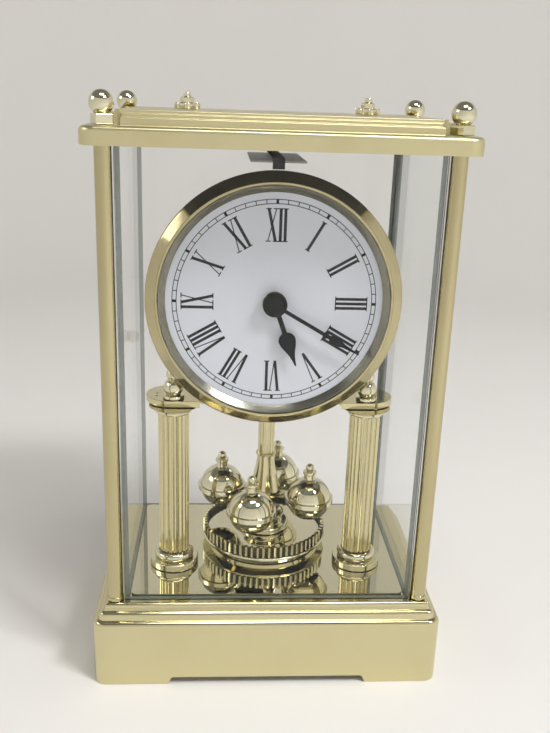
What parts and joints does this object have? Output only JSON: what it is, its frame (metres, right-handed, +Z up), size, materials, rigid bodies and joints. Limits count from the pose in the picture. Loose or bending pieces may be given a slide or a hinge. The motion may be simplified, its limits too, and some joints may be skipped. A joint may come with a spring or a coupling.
{
  "type": "anniversary clock",
  "caption": "Table clock in a clear case on a stepped gilt base, with a round dial between fluted columns over a turning ball pendulum.",
  "frame": {"origin": "on the table, under the middle of the clock's outer box", "axes": "+Z up; the dial and the front pane face -Y; +X to the right as seen from the front"},
  "size_m": [0.14, 0.096, 0.229],
  "materials": {
    "gilt_plastic": "gilt-plated, polished",
    "bright_gilt": "mirror-polished pale gilt",
    "mirror_gilt": "mirror-polished gilt sheet",
    "brass": "polished",
    "steel": "plain",
    "clear": "clear acrylic",
    "dial_white": "satin white",
    "hand_black": "satin black",
    "black_plastic": "moulded",
    "white_plastic": "moulded",
    "battery_can": "printed wrap, left plain"
  },
  "bodies": {
    "clock": {"base_shell": "gilt_plastic", "base_cover": "black_plastic", "base_plate": "mirror_gilt", "post_left": "brass", "post_right": "brass", "column_bolt_left": "steel", "column_bolt_right": "steel", "front_pane": "clear", "left_pane": "clear", "right_pane": "clear", "hinge_pin": "brass", "roof_shell": "gilt_plastic", "roof_liner": "white_plastic", "finial_front_left": "bright_gilt", "finial_front_right": "bright_gilt", "finial_rear_left": "bright_gilt", "finial_rear_right": "bright_gilt", "rosette_left": "bright_gilt", "rosette_right": "bright_gilt", "column_base_left": "gilt_plastic", "column_base_right": "gilt_plastic", "column_shaft_left": "gilt_plastic", "column_shaft_right": "gilt_plastic", "column_capital_left": "gilt_plastic", "column_capital_right": "gilt_plastic", "dial_bracket_left": "gilt_plastic", "dial_bracket_right": "gilt_plastic", "column_finial_left": "bright_gilt", "column_finial_right": "bright_gilt", "bezel": "brass", "reflector_ring": "mirror_gilt", "dial_plate": "dial_white", "dial_housing": "gilt_plastic", "dial_nut": "brass", "hanger_plate": "clear", "hanger_strap": "black_plastic", "movement_case": "black_plastic", "movement_cover": "black_plastic", "drive_case": "black_plastic", "support_tube": "gilt_plastic", "plinth_disc": "bright_gilt", "gallery_ring": "gilt_plastic", "guide_cup": "bright_gilt"},
    "minute": {"minute_hand": "hand_black", "hand_cap": "hand_black", "minute_arbor": "steel"},
    "hour": {"hour_hand": "hand_black", "hour_wheel": "white_plastic"},
    "setting": {"minute_wheel": "white_plastic", "setting_knob": "black_plastic"},
    "pendulum": {"pendulum_spindle": "steel", "trumpet": "gilt_plastic", "cross_arms": "brass", "pendulum_ball_front": "bright_gilt", "pendulum_ball_right": "bright_gilt", "pendulum_ball_rear": "bright_gilt", "pendulum_ball_left": "bright_gilt"},
    "door": {"rear_door": "clear", "door_knob": "brass"},
    "cell": {"battery": "battery_can"}
  },
  "joints": [
    {"name": "minute_turn", "type": "hinge", "parent": "clock", "child": "minute", "pos_m": [0, 0, 0.152], "axis": [0, 1, 0], "continuous": true},
    {"name": "hour_turn", "type": "hinge", "parent": "clock", "child": "hour", "pos_m": [0, 0, 0.152], "axis": [0, 1, 0], "continuous": true},
    {"name": "setting_turn", "type": "hinge", "parent": "clock", "child": "setting", "pos_m": [0, 0, 0.164], "axis": [0, 1, 0], "continuous": true},
    {"name": "pendulum_turn", "type": "hinge", "parent": "clock", "child": "pendulum", "pos_m": [0, 0.0084, 0.0587], "axis": [0, 0, 1], "range_deg": [-180, 180]},
    {"name": "door_swing", "type": "hinge", "parent": "clock", "child": "door", "pos_m": [0.0563, 0.0415, 0.123], "axis": [0, 0, -1], "range_deg": [0, 110]},
    {"name": "cell_slide", "type": "slide", "parent": "clock", "child": "cell", "axis": [0, 1, 0], "range_m": [0, 0.02]}
  ],
  "couplings": [
    {"joint": "hour_turn", "follows": "minute_turn", "ratio": 0.083333},
    {"joint": "setting_turn", "follows": "minute_turn", "ratio": -0.33333}
  ]
}
